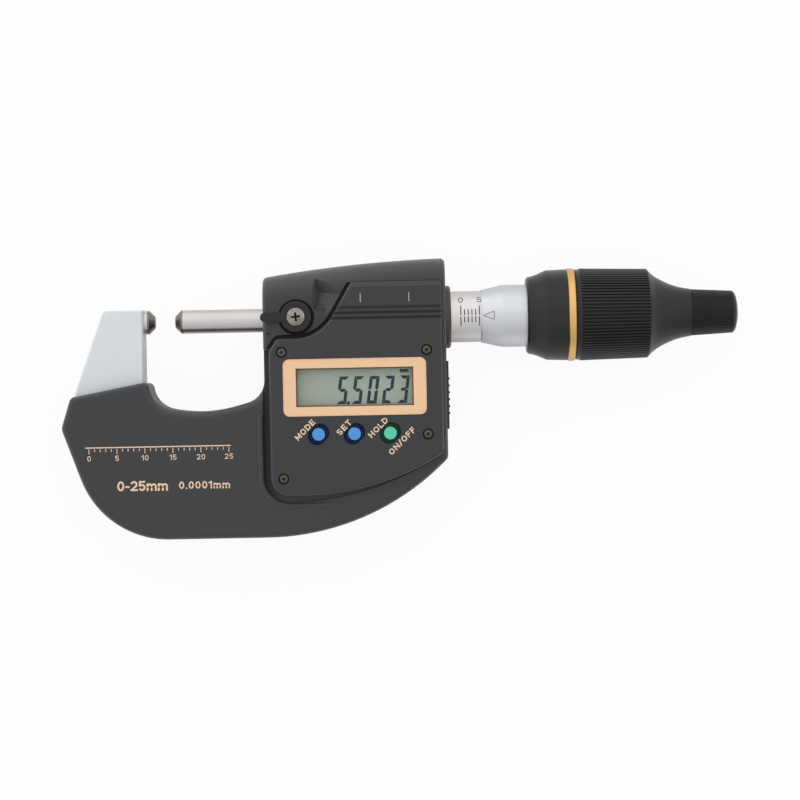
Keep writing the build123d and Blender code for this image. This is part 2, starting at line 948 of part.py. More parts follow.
def indexThimble():
    bore = sleeveDia / 2 + runningGap
    radius = indexDia / 2
    flangeEnd = flangeStart + flangeWidth
    shape = turned(
        (indexFront, bore),
        (indexFront + indexLength, bore),
        (indexFront + indexLength, radius),
        (flangeEnd, radius),
        (flangeEnd, indexFlange / 2),
        (flangeStart, indexFlange / 2),
        (flangeStart, radius),
        (indexFront + indexCone, radius),
        (indexFront + 0.2, indexFrontDia / 2),
        (indexFront, indexFrontDia / 2 - 0.1),
    )
    half = keyWidth / 2
    return shape - block(keyStart, keyStart + keyLength, -half, half, -indexDia, -sleeveDia / 2 + 1)


def thimbleKey():
    """Key of the index thimble, with a pin that runs in the groove of the sleeve."""
    half = keyWidth / 2
    pin = keyPinWidth / 2
    top = -sleeveDia / 2 - runningGap
    shape = block(keyStart, keyStart + keyLength, -half, half, -indexDia / 2 + 0.1, top)
    foot = -grooveFloor() - grooveRoom
    shape += block(keyPinStart, keyPinStart + keyPinLength, -pin, pin, top - 0.5, foot)
    return shape & along(keyStart - 1, keyStart + keyLength + 1, indexDia / 2)


def retainingRing():
    start = flangeStart + flangeWidth + runningGap
    return tube(start, start + retainerWidth, indexDia / 2 + slideGap, skirtBore / 2)


def thimbleSkirt():
    lip = skirtStart
    neck = lip + skirtCurve
    edge = 0.5
    shoulder = flangeStart - runningGap
    inner = indexDia / 2 + slideGap
    with BuildSketch() as sketch:
        with BuildLine():
            Line((lip, inner), (lip, skirtLipDia / 2 - edge))
            Line((lip, skirtLipDia / 2 - edge), (lip + edge, skirtLipDia / 2))
            Spline(
                (lip + edge, skirtLipDia / 2),
                (lip + skirtCurve / 2, skirtLipDia / 2 + 0.55),
                (neck, skirtNeckDia / 2),
                tangents=((1, 0.1), (1, 0.35)),
            )
            Line((neck, skirtNeckDia / 2), (skirtEnd, skirtDia / 2))
            Line((skirtEnd, skirtDia / 2), (skirtEnd, tenonDia / 2))
            Line((skirtEnd, tenonDia / 2), (skirtEnd + tenonLength, tenonDia / 2))
            Line((skirtEnd + tenonLength, tenonDia / 2), (skirtEnd + tenonLength, skirtBore / 2))
            Line((skirtEnd + tenonLength, skirtBore / 2), (shoulder, skirtBore / 2))
            Line((shoulder, skirtBore / 2), (shoulder, inner))
            Line((shoulder, inner), (lip, inner))
        make_face()
    return revolve(sketch.sketch, Axis.X)


def thimbleRing():
    radius = ringDia / 2
    edge = 0.2
    return turned(
        (skirtEnd, tenonDia / 2),
        (ringEnd, tenonDia / 2),
        (ringEnd, radius - edge),
        (ringEnd - edge, radius),
        (skirtEnd + edge, radius),
        (skirtEnd, radius - edge),
    )


def toothed(x0, x1, radius, endRadius, teeth, depth):
    """A straight knurl: a toothed bar between two places, tapering to its end."""
    sections = []
    for x, tip in ((x0, radius), (x1, endRadius)):
        corners = []
        for i in range(teeth):
            for share, r in ((0.0, tip), (0.35, tip), (0.6, tip - depth), (0.75, tip - depth)):
                angle = 2 * pi * (i + share) / teeth
                corners.append((x, r * cos(angle), r * sin(angle)))
        sections.append(make_face(Polyline(*corners, close=True)))
    return loft(sections, ruled=True)


def gripProfile():
    """Outside of the grip without its knurl, hollow cone included."""
    front = gripDia / 2
    rear = gripRearDia / 2
    bevelStart = gripFaceEnd - gripBevel
    coneTop = rear - gripBevel
    coneFoot = coneEndDia / 2
    with BuildSketch() as sketch:
        with BuildLine():
            Line((ringEnd, 0), (ringEnd, front - 0.6))
            Line((ringEnd, front - 0.6), (ringEnd + 0.7, front))
            Line((ringEnd + 0.7, front), (bevelStart, rear))
            Line((bevelStart, rear), (gripFaceEnd, coneTop))
            Spline(
                (gripFaceEnd, coneTop),
                (gripFaceEnd + 0.31 * coneLength, coneFoot + 0.5 * (coneTop - coneFoot)),
                (gripFaceEnd + 0.62 * coneLength, coneFoot + 0.19 * (coneTop - coneFoot)),
                (gripEnd, coneFoot),
                tangents=((0.7, -0.75), (1, -0.12)),
            )
            Line((gripEnd, coneFoot), (gripEnd, 0))
            Line((gripEnd, 0), (ringEnd, 0))
        make_face()
    return revolve(sketch.sketch, Axis.X)


def thimbleGrip():
    front = gripDia / 2 + knurlOver
    rear = gripRearDia / 2 + knurlOver
    bar = toothed(ringEnd + gripLand, gripFaceEnd, front, rear, gripTeeth, gripToothDepth)
    smooth = along(gripFaceEnd - 0.2, gripEnd + 1, gripDia)
    smooth += along(ringEnd, ringEnd + gripLand + 0.1, gripDia / 2 - gripLandDrop)
    shape = gripProfile() & (bar + smooth)
    shape -= along(ringEnd - 1, skirtEnd + tenonLength + 0.2, tenonDia / 2)
    shape -= along(ringEnd, webStart, gripBore / 2)
    shape -= along(ringEnd, webEnd + 1, screwNeckDia / 2)
    return shape - along(webEnd, gripEnd + 1, ratchetBore / 2)


def spindle():
    """Measuring spindle, its screw, and the neck that the grip is fixed on."""
    start = reading + tipCone + tipLand
    screwStart = rotorEnd + closeTravel + 3
    neckEnd = webEnd - 0.2
    shape = turned(
        (start, 0),
        (neckEnd, 0),
        (neckEnd, screwNeckDia / 2),
        (webStart, screwNeckDia / 2),
        (webStart, screwDia / 2),
        (screwStart + screwLeadIn, screwDia / 2),
        (screwStart, axisRadius),
        (start, axisRadius),
    )
    half = keywayWidth / 2
    floor = axisRadius - keywayDepth
    keyStop = rotorEnd + closeTravel + 1
    keyway = block(rotorStart - openTravel - 1, keyStop, -half, half, floor, axisRadius + 1)
    return shape - keyway - along(webEnd - shaftSeat, webEnd, shaftDia / 2)


def ratchetDisc():
    """Toothed face of the slipping drive, fixed in the grip."""
    bore = shaftDia / 2 + runningGap
    shape = tube(webEnd, discEnd, bore, ratchetBore / 2)
    width = (ratchetBore / 2 - bore) * 0.8
    for i in range(ratchetTeeth):
        tooth = Pos(discEnd, bore + width / 2 + 0.3, 0) * Box(2 * ratchetToothHeight, width, 0.6)
        shape += Rot(360 * i / ratchetTeeth, 0, 0) * tooth
    return shape


def ratchetShaft():
    """Stub that carries the knob, screwed into the end of the spindle."""
    return along(webEnd - shaftSeat, knobStart + shaftReach, shaftDia / 2)


def ratchetSpring():
    """Flat-wire spring between the toothed disc and the knob."""
    start = discEnd + ratchetToothHeight + springWire / 2
    length = knobStart - 0.3 - springWire / 2 - start
    coil = Helix(length / 4, length, springDia / 2, center=(0, 0, 0), direction=(1, 0, 0))
    wire = Plane(origin=coil @ 0, z_dir=coil % 0) * Rectangle(springWire, springWire)
    return Pos(start, 0, 0) * sweep(wire, path=coil, is_frenet=True)


def knob():
    end = knobStart + knobLength
    face = end - knobDome
    radius = knobDia / 2
    endRadius = knobEndDia / 2
    dome = 0.5
    with BuildSketch() as sketch:
        with BuildLine():
            Line((knobStart, 0), (knobStart, radius))
            Line((knobStart, radius), (face, endRadius))
            Line((face, endRadius), (face + dome, endRadius - dome))
            Spline((face + dome, endRadius - dome), (end, 0), tangents=((0.45, -1), (0, -1)))
            Line((end, 0), (knobStart, 0))
        make_face()
    outside = revolve(sketch.sketch, Axis.X)
    over = knurlOver
    bar = toothed(knobStart - 1, face - 0.3, radius + over, endRadius + over, knobTeeth, knobToothDepth)
    shape = outside & (bar + along(face - 0.4, end, radius))
    return shape - along(knobStart - 1, knobStart + shaftReach + 0.6, shaftDia / 2 + runningGap)


def write(name, shape):
    if isinstance(shape, list):
        shape = Compound(children=shape)
    export_step(shape, f"parts/{name}.step")


os.makedirs("parts", exist_ok=True)
pieces = {
    "frame": frame,
    "anvil": anvil,
    "anvil_tip": lambda: carbideTip(0.0, 1),
    "front_cover": frontCover,
    "back_cover": backCover,
    "display_panel": displayPanel,
    "window_bezel": windowBezel,
    "window_lens": windowLens,
    "lcd_cell": lcdCell,
    "circuit_board": circuitBoard,
    "key_switches": keySwitches,
    "panel_screws": panelScrews,
    "cover_screws": coverScrews,
    "battery": battery,
    "battery_contacts": batteryContacts,
    "battery_cap": batteryCap,
    "data_connector": dataConnector,
    "port_cover": portCover,
    "guide_bush": guideBush,
    "collar": collar,
    "sleeve": sleeve,
    "lead_nut": leadNut,
    "encoder_stator": encoderStator,
    "encoder_rotor": encoderRotor,
    "clamp_shoe": clampShoe,
    "clamp_lever": clampLever,
    "clamp_stud": clampStud,
    "clamp_screw": clampScrew,
    "index_thimble": indexThimble,
    "thimble_key": thimbleKey,
    "spindle": spindle,
    "spindle_tip": lambda: carbideTip(reading, -1),
    "thimble_skirt": thimbleSkirt,
    "thimble_ring": thimbleRing,
    "thimble_grip": thimbleGrip,
    "retaining_ring": retainingRing,
    "ratchet_disc": ratchetDisc,
    "ratchet_shaft": ratchetShaft,
    "ratchet_spring": ratchetSpring,
    "ratchet_knob": knob,
}
for name, x in zip(("button_mode", "button_set", "button_hold"), buttonPlaces()):
    pieces[name] = lambda x=x: button(x)
for name, make in pieces.items():
    write(name, make())
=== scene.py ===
from math import cos, pi, radians, sin, tan

import bmesh
import bpy
from mathutils import Matrix, Vector


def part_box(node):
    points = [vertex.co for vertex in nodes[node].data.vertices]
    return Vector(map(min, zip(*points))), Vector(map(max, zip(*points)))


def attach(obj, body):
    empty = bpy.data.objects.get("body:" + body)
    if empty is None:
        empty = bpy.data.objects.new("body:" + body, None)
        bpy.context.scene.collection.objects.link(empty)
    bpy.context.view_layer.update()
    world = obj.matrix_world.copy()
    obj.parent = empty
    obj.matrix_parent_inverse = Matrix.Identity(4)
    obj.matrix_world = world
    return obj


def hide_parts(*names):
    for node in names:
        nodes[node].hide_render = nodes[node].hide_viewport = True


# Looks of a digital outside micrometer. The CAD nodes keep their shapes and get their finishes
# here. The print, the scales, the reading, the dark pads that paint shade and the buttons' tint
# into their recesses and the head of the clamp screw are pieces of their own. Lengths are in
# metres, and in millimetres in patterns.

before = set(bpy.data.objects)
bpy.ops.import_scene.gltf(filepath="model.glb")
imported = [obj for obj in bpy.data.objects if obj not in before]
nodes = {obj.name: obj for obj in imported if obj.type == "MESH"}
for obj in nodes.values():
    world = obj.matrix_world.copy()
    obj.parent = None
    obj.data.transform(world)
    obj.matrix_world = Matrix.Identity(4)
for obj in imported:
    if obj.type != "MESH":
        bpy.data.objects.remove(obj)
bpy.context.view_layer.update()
mm = 0.001
white = (1, 1, 1, 1)
print("CAD nodes loaded:", len(nodes))


def paint(red, green, blue):
    # a colour as a screen shows it, 0 to 255, as a linear one
    linear = [(c / 255 / 12.92) if c <= 10 else ((c / 255 + 0.055) / 1.055) ** 2.4
              for c in (red, green, blue)]
    return (*linear, 1.0)


def shaded(tone, share):
    return [c * share for c in tone[:3]] + [1.0]


class Wire:
    # a socket that stands in a Python expression; each sign adds its Math node
    def __init__(self, sheet, socket):
        self.sheet = sheet
        self.socket = socket

    def maths(self, operation, *others, turned=False):
        values = [self, *others]
        if turned:
            values.reverse()
        return self.sheet.node("ShaderNodeMath", {"operation": operation},
                               dict(enumerate(values)))

    def output(self, name):
        return Wire(self.sheet, self.socket.node.outputs[name])

    def share(self):
        # kept between 0 and 1
        return self.maths("MINIMUM", 1.0).maths("MAXIMUM", 0.0)

    def swing(self, width):
        # a pattern of 0 to 1 as a change by half the width, up or down
        return (self - 0.5) * width

    def __add__(self, other):
        return self.maths("ADD", other)

    def __sub__(self, other):
        return self.maths("SUBTRACT", other)

    def __rsub__(self, other):
        return self.maths("SUBTRACT", other, turned=True)

    def __mul__(self, other):
        return self.maths("MULTIPLY", other)

    def __pow__(self, other):
        return self.maths("POWER", other)

    __radd__ = __add__
    __rmul__ = __mul__


class Sheet:
    # a node tree, and node() to add any node to it
    def __init__(self, tree):
        self.tree = tree

    def feed(self, socket, value):
        if isinstance(value, Wire):
            self.tree.links.new(value.socket, socket)
        else:
            socket.default_value = value

    def node(self, kind, settings=None, inputs=None, output=0):
        made = self.tree.nodes.new(kind)
        for setting, value in (settings or {}).items():
            setattr(made, setting, value)
        for socket, value in (inputs or {}).items():
            self.feed(made.inputs[socket], value)
        return Wire(self, made.outputs[output])


# where painted shade and painted highlight change with the way a face looks; up is the Z of its
# normal
facing = {
    "level": 0.98,  # least up of a face that counts as level
    "shadeFade": 0.12,  # share per millimetre by which the painted shade on a floor fades out
    "edgeFrom": 0.08, "edgeTo": 0.97,  # up of the rounded edges
    "edgeGain": 8, "edgeFade": 1.4,  # how soon the painted highlight grows above the one and below the other
    "rimLightFrom": -0.15, "rimLightUnder": -0.3,  # Y and least up of the lower rim that gets painted highlight
    "rimLightGain": 3,
}


class Finish(Sheet):
    # one material with its Principled shader
    def __init__(self, name, **plain):
        self.material = bpy.data.materials.new(name)
        self.material.use_nodes = True
        super().__init__(self.material.node_tree)
        self.shader = self.tree.nodes["Principled BSDF"]
        self.set(**plain)

    def set(self, **values):
        # keyword names are the shader's sockets with _ for a space
        for name, value in values.items():
            self.feed(self.shader.inputs[name.replace("_", " ")], value)

    def place(self, stretch=(1, 1, 1)):
        # object coordinates in millimetres, stretched
        spot = self.node("ShaderNodeTexCoord", output="Object")
        return self.node("ShaderNodeMapping", None,
                         {"Vector": spot, "Scale": [s / mm for s in stretch]})

    def noise(self, perMm, detail=2.0, stretch=(1, 1, 1)):
        return self.node("ShaderNodeTexNoise", {"noise_dimensions": "3D"},
                         {"Vector": self.place(stretch), "Scale": perMm, "Detail": detail})

    def blend(self, factor, first, second, kind="MIX"):
        # inputs 6 and 7 and output 2 of a Mix node are its colours
        return self.node("ShaderNodeMix", {"data_type": "RGBA", "blend_type": kind},
                         {0: factor, 6: first, 7: second}, output=2)

    def bump(self, height, depthMm):
        return self.node("ShaderNodeBump", None, {"Height": height, "Distance": depthMm * mm})

    def way(self):
        # the way that a face looks, as the X, Y and Z of its normal
        normal = self.node("ShaderNodeTexCoord", output="Normal")
        return self.node("ShaderNodeSeparateXYZ", None, {"Vector": normal})

    def facingUp(self):
        return self.way().output("Z").maths("GREATER_THAN", facing["level"])

    def floors(self, levels):
        # the floors of grooves and pits, where a dark tone paints their shade; a level is their
        # lowest and highest z, the x and y they start at, and the x that they fade out at
        spot = self.node("ShaderNodeSeparateXYZ", None, {"Vector": self.place()})
        found = 0.0
        for low, high, fromX, fromY, toX in levels:
            here = ((toX - spot.output("X")) * facing["shadeFade"]).share()
            for axis, least in (("X", fromX), ("Y", fromY), ("Z", low)):
                here = here * spot.output(axis).maths("GREATER_THAN", least)
            here = here * spot.output("Z").maths("LESS_THAN", high)
            found = here.maths("MAXIMUM", found)
        return found * self.facingUp()

    def rubbed(self):
        # the share of painted highlight: 0 on level faces and upright walls, up to 1 on rounded
        # edges and on the lower rim
        way = self.way()
        up = way.output("Z")
        edge = ((up - facing["edgeFrom"]) * facing["edgeGain"]).share()
        rimLight = ((facing["rimLightFrom"] - way.output("Y")) * facing["rimLightGain"]).share()
        rimLight = rimLight * up.maths("GREATER_THAN", facing["rimLightUnder"])
        return (((facing["edgeTo"] - up) * facing["edgeFade"]).share()
                * edge.maths("MAXIMUM", rimLight))


plasticSkin = {
    "grainDetail": 3.0, "drift": 0.035, "grainSheen": 0.12, "driftSheen": 0.08,
    "highlightLeast": 0.7, "highlightDrift": 0.6, "shadeSheen": 0.4, "depth": 0.004,
}


def moulded(name, dark, light, rough, grain=2.2, shadeLevels=(), shadeTone=paint(20, 20, 22), highlightTone=None):
    # moulded plastic: a fine spark-eroded grain and a slow drift of tone, with a paler tone
    # painted as highlight on rounded edges and the lower rim; the floors of pits and grooves get
    # a near black painted as their shade
    look = Finish(name, IOR=1.5)
    fine = look.noise(grain, plasticSkin["grainDetail"])
    slow = look.noise(plasticSkin["drift"])
    skin = look.blend(slow, dark, light)
    sheen = (rough + fine.swing(plasticSkin["grainSheen"])
             + slow.swing(plasticSkin["driftSheen"]))
    # a paler tone painted as the highlight on rounded edges and the lower rim
    if highlightTone:
        highlight = look.rubbed() * (slow * plasticSkin["highlightDrift"] + plasticSkin["highlightLeast"])
        skin = look.blend(highlight.share(), skin, highlightTone)
    if shadeLevels:
        shadeMask = look.floors(shadeLevels)
        skin = look.blend(shadeMask, skin, shadeTone)
        sheen = sheen + shadeMask * plasticSkin["shadeSheen"]
    look.set(Base_Color=skin, Roughness=sheen, Normal=look.bump(fine, plasticSkin["depth"]))
    return look


turnedSkin = {"stretch": (1, 0.02, 0.02), "drift": 0.09, "shade": 0.9, "sheen": 0.14}


def turnedMetal(name, tone, rough, lines=9.0, depth=0.0012, metallic=1.0, shine=0.5):
    # metal turned or ground round the X axis: fine rings along it
    look = Finish(name, Metallic=metallic, Specular_IOR_Level=shine)
    rings = look.noise(lines, stretch=turnedSkin["stretch"])
    slow = look.noise(turnedSkin["drift"], detail=1.0)
    look.set(Base_Color=look.blend(slow, tone, shaded(tone, turnedSkin["shade"])),
             Roughness=rough + rings.swing(turnedSkin["sheen"]),
             Normal=look.bump(rings, depth))
    return look


flatSkin = {"detail": 3.0, "sheen": 0.2, "depth": 0.002, "shadeTone": paint(20, 19, 17)}


def flatMetal(name, tone, rough, scale=3.0, shadeLevels=(), shade=0.82):
    # brushed or cast metal with an even grain, and a dark tone painted as shade on the floors of
    # its pits
    look = Finish(name, Metallic=1.0)
    grain = look.noise(scale, flatSkin["detail"])
    skin = look.blend(grain, tone, shaded(tone, shade))
    if shadeLevels:
        skin = look.blend(look.floors(shadeLevels), skin, flatSkin["shadeTone"])
    look.set(Base_Color=skin,
             Roughness=rough + grain.swing(flatSkin["sheen"]),
             Normal=look.bump(grain, flatSkin["depth"]))
    return look


lacquer = {
    "pale": paint(214, 218, 221), "dark": paint(206, 211, 215), "flakes": 7.0,
    "flakeShare": 0.1, "cast": 0.8, "castDetail": 3.0, "rough": 0.46, "sheen": 0.16,
    "depth": 0.012,
}


def paintedCasting(p):
    # silver lacquer with metal flakes over a cast surface
    look = Finish("silverPaint", Metallic=0.3, IOR=1.5, Coat_Weight=0.15, Coat_Roughness=0.3)
    flakes = look.node("ShaderNodeTexVoronoi", None,
                       {"Vector": look.place(), "Scale": p["flakes"]}, output="Color")
    skin = look.noise(p["cast"], p["castDetail"])
    tone = look.blend(p["flakeShare"], p["pale"], flakes, "OVERLAY")
    look.set(Base_Color=look.blend(skin, tone, p["dark"]),
             Roughness=p["rough"] + skin.swing(p["sheen"]),
             Normal=look.bump(skin, p["depth"]))
    return look


glossSkin = {"peel": 0.9, "sheen": 0.1, "depth": 0.003}


def gloss(name, tone, shade, rough=0.25, coat=0.4, flank=None, shine=0.5):
    # a glossy moulding with a shallow orange peel; a darker tone on its flank, off its level top,
    # is painted shade
    look = Finish(name, IOR=1.5, Coat_Weight=coat, Coat_Roughness=0.08,
                  Specular_IOR_Level=shine)
    peel = look.noise(glossSkin["peel"], detail=1.0)
    skin = look.blend(peel, tone, shade)
    if flank:
        skin = look.blend(look.facingUp(), flank, skin)
    look.set(Base_Color=skin,
             Roughness=rough + peel.swing(glossSkin["sheen"]),
             Normal=look.bump(peel, glossSkin["depth"]))
    return look


crystal = {
    "dark": paint(174, 186, 174), "light": paint(181, 190, 178), "weft": paint(162, 174, 164),
    "drift": 0.05, "weave": 2.6, "stretch": (1, 1, 0.01), "weftShare": 0.4, "rough": 0.45,
    "sheen": 0.1, "depth": 0.001,
}


def liquidCrystal(p):
    # grey green glass with the faint weave of its reflector
    look = Finish("display", IOR=1.5, Specular_IOR_Level=0.3)
    weave = look.noise(p["weave"], stretch=p["stretch"])
    slow = look.noise(p["drift"], detail=1.0)
    tone = look.blend(slow, p["dark"], p["light"])
    look.set(Base_Color=look.blend(weave * p["weftShare"], tone, p["weft"]),
             Roughness=p["rough"] + weave.swing(p["sheen"]),
             Normal=look.bump(weave, p["depth"]))
    return look


clearPane = {"smear": 0.12, "alpha": 0.05, "smearAlpha": 0.03, "rough": 0.04, "smearRough": 0.05}


def clearWindow(p):
    # a clear pane with faint smears
    look = Finish("clearWindow", Base_Color=paint(40, 44, 44), IOR=1.49)
    smear = look.noise(p["smear"])
    look.set(Alpha=p["alpha"] + smear * p["smearAlpha"],
             Roughness=p["rough"] + smear * p["smearRough"])
    return look


circuits = {
    "tracks": {"Scale": 0.55, "Color1": paint(24, 96, 58), "Color2": paint(20, 84, 50),
               "Mortar": paint(48, 132, 80), "Mortar Size": 0.03},
    "rough": 0.35, "smear": 0.4, "smearRough": 0.1,
}


def solderMask(p):
    # green lacquer over a pattern of tracks
    look = Finish("board", IOR=1.5)
    tracks = look.node("ShaderNodeTexBrick", {"offset": 0.5},
                       {"Vector": look.place(), **p["tracks"]})
    look.set(Base_Color=tracks,
             Roughness=p["rough"] + look.noise(p["smear"]) * p["smearRough"])
    return look


inkSkin = {"speckle": 6.0, "share": 0.4, "shade": 0.8, "sheen": 0.2}


def printInk(name, tone, rough=0.55):
    # ink or filled engraving, slightly speckled
    look = Finish(name, IOR=1.45)
    speckle = look.noise(inkSkin["speckle"])
    look.set(Base_Color=look.blend(speckle * inkSkin["share"], tone,
                                   shaded(tone, inkSkin["shade"])),
             Roughness=rough + speckle.swing(inkSkin["sheen"]))
    return look


# floors of pits and grooves of the covers and screws that get painted shade, in millimetres, as
# levels for the Finish method that finds them
coverShadeLevels = ((7.5, 7.7, 20, -60, 35), (8.9, 9.1, 29, -16, 60), (9.15, 9.25, 29, -8, 60))
panelShadeLevels = ((10.0, 12.3, 20, -60, 100),)
screwShadeLevels = ((9.0, 12.1, 20, -60, 100),)

# by the record's material slots
finishes = {
    # the covers and the panel: near black tones painted as shade on the floors of pits and
    # grooves
    "black_cover": moulded("blackCover", paint(38, 39, 42), paint(43, 44, 47), rough=0.36,
                           # the paler tones here are painted highlight on rounded edges and the
                           # lower rim
                           shadeLevels=coverShadeLevels, highlightTone=paint(80, 81, 84)),
    "black_panel": moulded("blackPanel", paint(33, 34, 37), paint(38, 39, 42), rough=0.34,
                           grain=3.0, shadeLevels=panelShadeLevels, shadeTone=paint(29, 29, 31),
                           highlightTone=paint(76, 77, 80)),
    "silver_paint": paintedCasting(lacquer),
    "steel": turnedMetal("groundSteel", paint(206, 203, 202), rough=0.3, lines=6.0,
                         depth=0.0006),
    "satin_chrome": turnedMetal("satinChrome", paint(212, 214, 219), rough=0.38, lines=5.0,
                                depth=0.0005),
    "carbide": turnedMetal("carbide", paint(132, 128, 124), rough=0.3, lines=6.0),
    "peach_bezel": gloss("peachBezel", paint(234, 194, 154), paint(229, 188, 147), rough=0.45,
                         coat=0.05),
    "clear_window": clearWindow(clearPane),
    "display": liquidCrystal(crystal),
    "board": solderMask(circuits),
    "dark_screw": flatMetal("darkScrew", paint(74, 72, 62), rough=0.45),
    # the clamp screw's head: big soft patches down to 12 percent of its tone paint its mottled
    # reflections
    "bright_screw": flatMetal("brightScrewPaintedReflections", paint(180, 175, 168), rough=0.14, scale=0.55,
                              shade=0.12),
    # the buttons' flanks get a deep tone painted as their shade
    "blue_button": gloss("blueButton", paint(60, 142, 214), paint(54, 132, 206),
                         flank=paint(12, 34, 68)),
    "green_button": gloss("greenButton", paint(74, 198, 166), paint(66, 188, 156),
                          flank=paint(10, 60, 46)),
    "black_metal": turnedMetal("blackAnodised", paint(24, 24, 25), rough=0.3, lines=1.6,
                               depth=0.0004, metallic=0.0, shine=0.36),
    "gold": turnedMetal("goldRing", paint(228, 181, 115), rough=0.32, lines=6.0, depth=0.0006),
    "dark_collar": turnedMetal("darkCollar", paint(74, 66, 58), rough=0.3, lines=4.0,
                               depth=0.001, metallic=0.5),
    "bronze": turnedMetal("bronze", paint(176, 138, 84), rough=0.35),
    "rubber_black": moulded("rubberBlack", paint(34, 34, 35), paint(40, 40, 41), rough=0.6),
    "spring_steel": flatMetal("springSteel", paint(178, 176, 172), rough=0.3),
}
sleeveSteel = turnedMetal("sleeveSteel", paint(216, 213, 213), rough=0.38, lines=5.0,
                          depth=0.0005)
# the panel screws get a near black painted as shade on the floors of their pits
panelScrew = flatMetal("panelScrew", paint(104, 101, 90), rough=0.4, shadeLevels=screwShadeLevels)
# a near black painted as the shade inside the clamp screw's cross
crossShade = flatMetal("crossShade", paint(34, 33, 32), rough=0.5)
# dark blue and dark green pads painted as the shade and the buttons' reflection in their recesses
blueRecessShade = gloss("blueRecessShade", paint(12, 36, 84), paint(10, 30, 74), rough=0.4, coat=0.0,
                 shine=0.12)
greenRecessShade = gloss("greenRecessShade", paint(8, 72, 52), paint(6, 62, 44), rough=0.4, coat=0.0,
                  shine=0.12)
inks = {
    "peach": printInk("peachInk", paint(240, 208, 178)),
    "grey": printInk("greyInk", paint(158, 158, 154)),
    "black": printInk("engravedBlack", paint(88, 85, 83)),
    "pale": printInk("engravedGrey", paint(160, 160, 163)),
    "segments": printInk("segments", paint(30, 49, 57), rough=0.4),
    # the olive tone paints the shade round the window's opening
    "olive": printInk("oliveShade", paint(140, 122, 88)),
}

nodeFinish = {
    "frame": "silver_paint", "anvil": "steel", "anvil_tip": "carbide",
    "front_cover": "black_cover", "back_cover": "black_cover",
    "display_panel": "black_panel", "window_bezel": "peach_bezel",
    "window_lens": "clear_window", "lcd_cell": "display",
    "circuit_board": "board", "key_switches": "rubber_black", "cover_screws": "dark_screw",
    "battery": "steel", "battery_contacts": "spring_steel", "battery_cap": "black_cover",
    "data_connector": "rubber_black", "port_cover": "rubber_black",
    "guide_bush": "bronze", "encoder_stator": "board", "encoder_rotor": "bronze",
    "lead_nut": "bronze", "collar": "dark_collar",
    "clamp_lever": "black_metal", "clamp_stud": "steel", "clamp_screw": "bright_screw",
    "clamp_shoe": "bronze", "button_mode": "blue_button", "button_set": "blue_button",
    "button_hold": "green_button", "index_thimble": "satin_chrome", "thimble_key": "steel",
    "retaining_ring": "spring_steel", "spindle": "steel", "spindle_tip": "carbide",
    "thimble_skirt": "black_metal", "thimble_ring": "gold", "thimble_grip": "black_metal",
    "ratchet_disc": "steel", "ratchet_shaft": "steel", "ratchet_spring": "spring_steel",
    "ratchet_knob": "black_metal",
}
ownFinish = {"sleeve": sleeveSteel, "panel_screws": panelScrew}
for name, node in nodes.items():
    look = ownFinish.get(name) or finishes[nodeFinish[name]]
    node.data.materials.clear()
    node.data.materials.append(look.material)
print("finishes on the CAD nodes:", len(finishes) + len(ownFinish))


def added(name, data):
    # an object in the scene with this mesh, lamp or camera
    made = bpy.data.objects.new(name, data)
    bpy.context.scene.collection.objects.link(made)
    return made


def piece(name, mesh, looks, body):
    # a finished mesh as an object at the origin that rides on a body
    mesh.name = name
    for look in looks:
        mesh.materials.append(look.material)
    made = added(name, mesh)
    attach(made, body)
    return made


def meshFrom(bm):
    bmesh.ops.recalc_face_normals(bm, faces=bm.faces)
    mesh = bpy.data.meshes.new("piece")
    bm.to_mesh(mesh)
    bm.free()
    return mesh


def raised(bm, thick):
    # flat faces as a thin solid
    upper = bmesh.ops.extrude_face_region(bm, geom=bm.faces[:])["geom"]
    bmesh.ops.translate(bm, vec=(0, 0, thick),
                        verts=[v for v in upper if isinstance(v, bmesh.types.BMVert)])
    return meshFrom(bm)


def joined(meshes):
    bm = bmesh.new()
    for mesh in meshes:
        bm.from_mesh(mesh)
        bpy.data.meshes.remove(mesh)
    return meshFrom(bm)


def placed(mesh, x=0.0, y=0.0, z=0.0, turn=0.0):
    mesh.transform(Matrix.Translation((x, y, z)) @ Matrix.Rotation(radians(turn), 4, "Z"))
    return mesh


def middle(low, high):
    # x and y of the middle of a box
    return (low[0] + high[0]) / 2, (low[1] + high[1]) / 2


inkThick = 0.03 * mm


def penned(strokes, wide):
    # flat strokes along lists of points, as thin solids; a list that ends where it
    # began is a closed line
    curve = bpy.data.curves.new("strokes", "CURVE")
    curve.dimensions = "3D"
    curve.bevel_depth = wide / 2
    curve.bevel_resolution = 0
    curve.use_fill_caps = True
    for points in strokes:
        closed = points[0] == points[-1] and len(points) > 2
        spline = curve.splines.new("POLY")
        spots = points[:-1] if closed else points
        spline.points.add(len(spots) - 1)
        for point, (x, y) in zip(spline.points, spots):
            point.co = (x, y, 0, 1)
        spline.use_cyclic_u = closed
    holder = bpy.data.objects.new("strokes", curve)
    mesh = bpy.data.meshes.new_from_object(holder)
    bpy.data.objects.remove(holder)
    bpy.data.curves.remove(curve)
    mesh.transform(Matrix.Diagonal((1, 1, inkThick / wide, 1)))
    return mesh


def wrapped(mesh, radius):
    # bends a flat print round the X axis; radius(x) is the surface that it lies on
    for vertex in mesh.vertices:
        x, y, z = vertex.co
        turn = y / radius(x)
        reach = radius(x) + z
        vertex.co = (x, reach * sin(turn), reach * cos(turn))
    return mesh


def line(start, end, bends):
    # points along a straight line, so that it can be wrapped round a bar
    (x0, y0), (x1, y1) = start, end
    return [(x0 + (x1 - x0) * i / bends, y0 + (y1 - y0) * i / bends) for i in range(bends + 1)]


